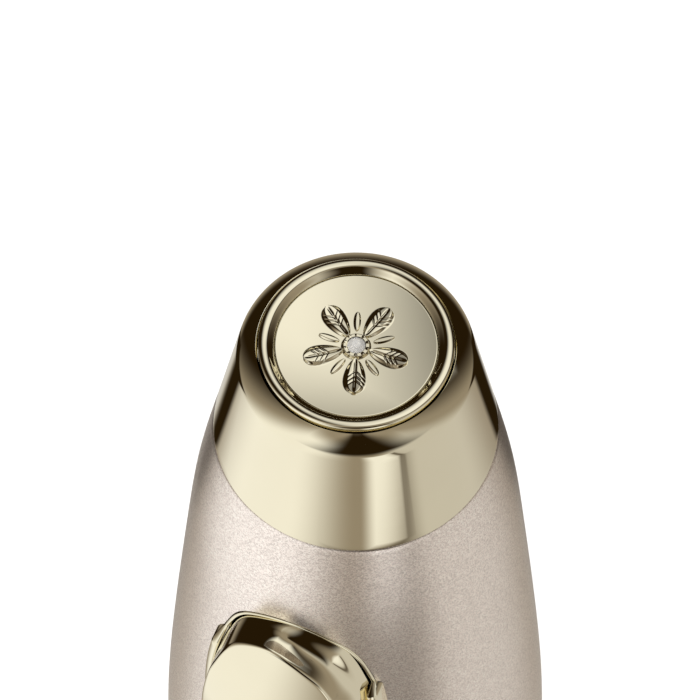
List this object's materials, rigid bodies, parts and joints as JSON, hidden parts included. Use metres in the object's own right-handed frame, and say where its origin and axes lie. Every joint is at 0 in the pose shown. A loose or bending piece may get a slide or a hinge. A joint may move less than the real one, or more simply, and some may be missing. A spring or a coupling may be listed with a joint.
{
  "type": "skin scrubber",
  "caption": "Hand-held ultrasonic skin scrubber: tapered bullet handle, polished tail cap with a medallion, raised thumb button and a bent spatula blade.",
  "frame": {"origin": "centre of the flat land on the tail ring, the outermost plane of the tail end", "axes": "+Z out of the tail along the handle's axis, so the blade end points to -Z; the thumb button is on the -Y side and the charging socket on the +Y side; +X completes the frame"},
  "size_m": [0.0402, 0.0416, 0.178],
  "materials": {
    "body_paint": "satin pearl champagne pink lacquer with fine metallic grain",
    "gold_chrome": "polished pale gold plating",
    "steel_blade": "fine brushed stainless steel",
    "steel_fastener": "zinc plated steel",
    "gem_glass": "cut clear stone",
    "adhesive_foam": "double-sided foam pad",
    "seal_rubber": "black silicone",
    "soft_silicone": "matte silicone, tinted to the body",
    "chassis_plastic": "natural moulded plastic",
    "dark_plastic": "black moulded plastic",
    "board_green": "solder-masked board",
    "cell_wrap": "shrink wrap",
    "foam_grey": "foam",
    "wire_red": "insulated wire",
    "lens_clear": "clear light pipe",
    "led_white": "chip",
    "ferrite": "sintered ferrite",
    "copper": "enamelled copper winding",
    "piezo_ceramic": "silvered piezo ceramic"
  },
  "bodies": {
    "handle": {"badge_adhesive": "adhesive_foam", "badge_disc": "gold_chrome", "badge_gem": "gem_glass", "badge_ring": "gold_chrome", "battery_cell": "cell_wrap", "battery_connector": "chassis_plastic", "battery_leads": "wire_red", "battery_pad": "foam_grey", "battery_strap": "dark_plastic", "bezel_gasket": "seal_rubber", "bezel_screws": "steel_fastener", "blade_clamp": "dark_plastic", "blade_gasket": "soft_silicone", "board_screws": "steel_fastener", "body_sleeve": "body_paint", "button_bezel": "gold_chrome", "button_spring": "steel_fastener", "charge_board": "board_green", "charging_socket": "dark_plastic", "clamp_screws": "steel_fastener", "collar_seal": "seal_rubber", "controller_chip": "dark_plastic", "filter_capacitor": "dark_plastic", "head_housing_back": "body_paint", "head_housing_front": "body_paint", "head_screws": "steel_fastener", "indicator_leds": "led_white", "indicator_lenses": "lens_clear", "inner_chassis": "chassis_plastic", "main_pcb": "board_green", "neck_collar": "gold_chrome", "piezo_disc": "piezo_ceramic", "screw_plugs": "soft_silicone", "scrub_blade": "steel_blade", "switch_body": "dark_plastic", "tail_cap": "gold_chrome", "tail_cap_seal": "seal_rubber", "tail_screw": "steel_fastener", "transducer_leads": "wire_red", "transformer_coil": "copper", "transformer_core": "ferrite"},
    "button": {"button_cap": "gold_chrome"},
    "plunger": {"switch_plunger": "chassis_plastic"},
    "cover": {"port_cover": "soft_silicone"}
  },
  "joints": [
    {"name": "button_press", "type": "slide", "parent": "handle", "child": "button", "axis": [0, 1, 0], "range_m": [0, 0.0006], "stiffness_N_per_m": 1500, "springref_m": -0.001, "deforming": ["button_spring"]},
    {"name": "plunger_press", "type": "slide", "parent": "handle", "child": "plunger", "axis": [0, 1, 0], "range_m": [0, 0.0006]},
    {"name": "port_cover_hinge", "type": "hinge", "parent": "handle", "child": "cover", "pos_m": [0, 0.01527, -0.0319], "axis": [-1, 0, 0], "range_deg": [0, 90]}
  ],
  "couplings": [
    {"joint": "plunger_press", "follows": "button_press", "ratio": 1}
  ]
}
